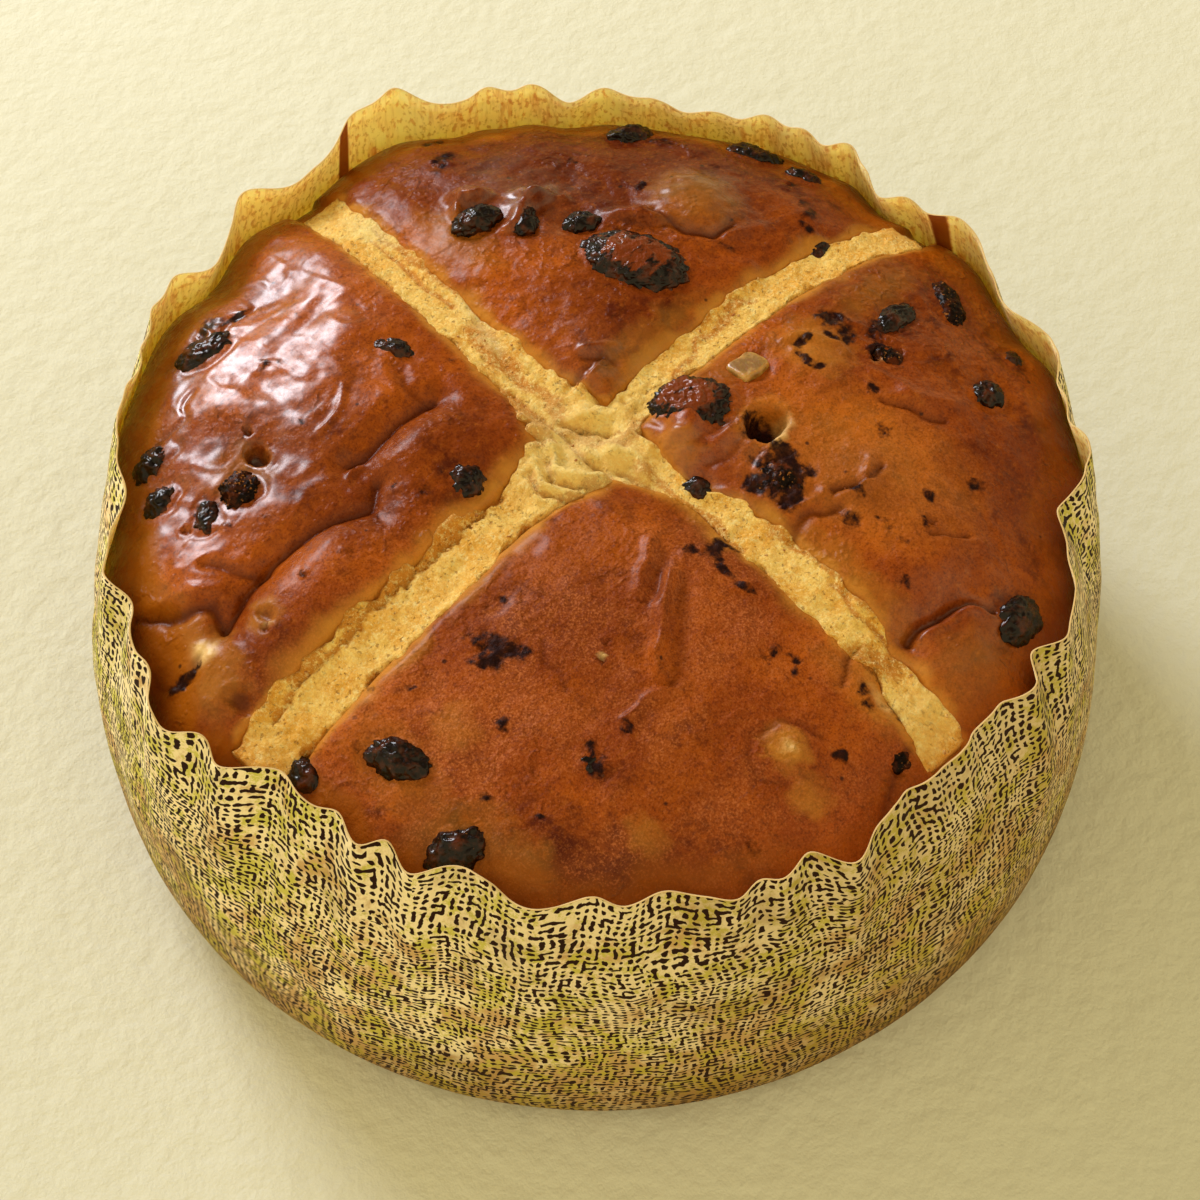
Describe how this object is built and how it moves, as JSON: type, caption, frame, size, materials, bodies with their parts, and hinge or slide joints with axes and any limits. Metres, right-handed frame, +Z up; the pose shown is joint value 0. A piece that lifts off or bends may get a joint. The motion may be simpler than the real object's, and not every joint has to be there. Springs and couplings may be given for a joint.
{
  "type": "hot cross bun",
  "caption": "Large round fruited bun with a flour paste cross, domed above the pleated paper case that it was baked in.",
  "frame": {"origin": "middle of the paper case's flat base, on the surface it stands on", "axes": "+Z up; the arms of the cross lie along X and Y"},
  "size_m": [0.1756, 0.1756, 0.0811],
  "materials": {
    "paper": "thin straw-coloured baking paper with a dark brown weave-like print",
    "crust": "glazed chestnut-brown crust, satin with soft highlights",
    "cross": "pale golden baked flour paste, dry and fine-grained",
    "raisin": "wrinkled near-black dried fruit with a sugar gloss",
    "peel": "beige candied peel, glossy"
  },
  "bodies": {
    "root": {"paper_case": "paper", "loaf": "crust", "cross": "cross", "peel": "peel", "raisin_01": "raisin", "raisin_02": "raisin", "raisin_03": "raisin", "raisin_04": "raisin", "raisin_05": "raisin", "raisin_06": "raisin", "raisin_07": "raisin", "raisin_08": "raisin", "raisin_09": "raisin", "raisin_10": "raisin", "raisin_11": "raisin", "raisin_12": "raisin", "raisin_13": "raisin", "raisin_14": "raisin", "raisin_15": "raisin", "raisin_16": "raisin", "raisin_17": "raisin", "raisin_18": "raisin", "raisin_19": "raisin", "raisin_20": "raisin", "raisin_21": "raisin", "raisin_22": "raisin", "raisin_23": "raisin", "raisin_24": "raisin", "raisin_25": "raisin", "raisin_26": "raisin", "raisin_27": "raisin", "raisin_28": "raisin", "raisin_29": "raisin"}
  },
  "joints": []
}
